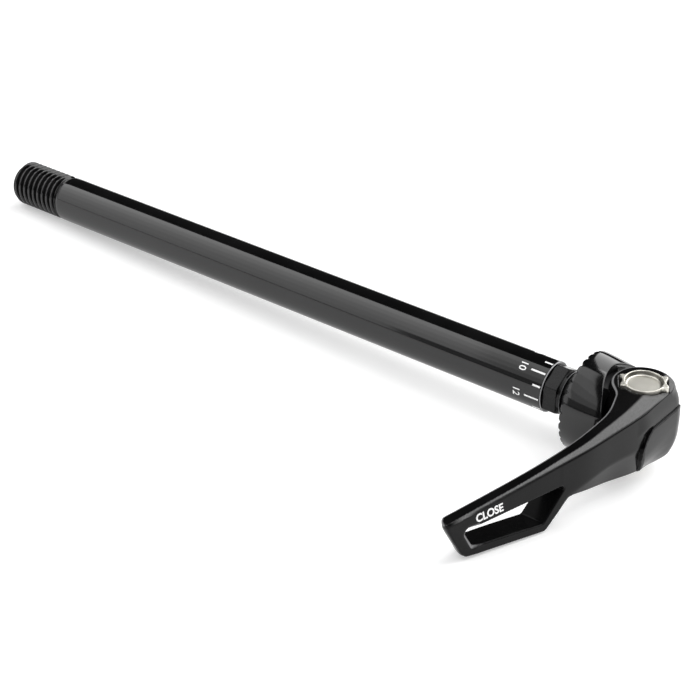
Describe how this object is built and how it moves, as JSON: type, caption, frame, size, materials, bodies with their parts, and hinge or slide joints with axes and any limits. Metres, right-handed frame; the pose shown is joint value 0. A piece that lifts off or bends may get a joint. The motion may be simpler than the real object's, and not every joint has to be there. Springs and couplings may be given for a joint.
{
  "type": "bicycle thru axle",
  "caption": "Bicycle thru axle: a hollow tube threaded at one end, a toothed clamp flange at the other, and a cam lever with a finger slot that draws the flange in.",
  "frame": {"origin": "on the axle's centre line at the clamp face of the toothed flange, lever closed", "axes": "+X along the axle from the threaded tip to the lever end; +Z along the lever's pivot; the closed lever reaches toward -Y"},
  "size_m": [0.2003, 0.0741, 0.023],
  "materials": {
    "black_anodised": "gloss black anodised, white printed scale",
    "black_gloss": "gloss black anodised",
    "black_satin": "satin black anodised forging",
    "black_hardware": "black anodised, machined",
    "plain_aluminium": "machined",
    "steel": "turned",
    "bearing_plastic": "moulded, dark",
    "nickel": "warm nickel plate"
  },
  "bodies": {
    "axle": {"axle_tube": "black_anodised", "end_plug": "plain_aluminium", "thrust_washer": "bearing_plastic"},
    "head": {"draw_rod": "steel", "index_nut": "black_hardware", "barrel_nut": "steel"},
    "flange": {"clamp_flange": "black_gloss", "cam_follower": "bearing_plastic"},
    "lever": {"lever": "black_satin", "upper_pin_cap": "nickel", "lower_pin_cap": "nickel"}
  },
  "joints": [
    {"name": "head_clocking", "type": "hinge", "parent": "axle", "child": "head", "pos_m": [0, 0, 0], "axis": [1, 0, 0], "continuous": true},
    {"name": "lever_pivot", "type": "hinge", "parent": "head", "child": "lever", "pos_m": [0.0136, 0, 0], "axis": [0, 0, 1], "range_deg": [0, 90]},
    {"name": "flange_slide", "type": "slide", "parent": "head", "child": "flange", "axis": [1, 0, 0], "range_m": [0, 0.0012]}
  ],
  "couplings": [
    {"joint": "flange_slide", "follows": "lever_pivot", "m_per_rad": 0.000763}
  ]
}
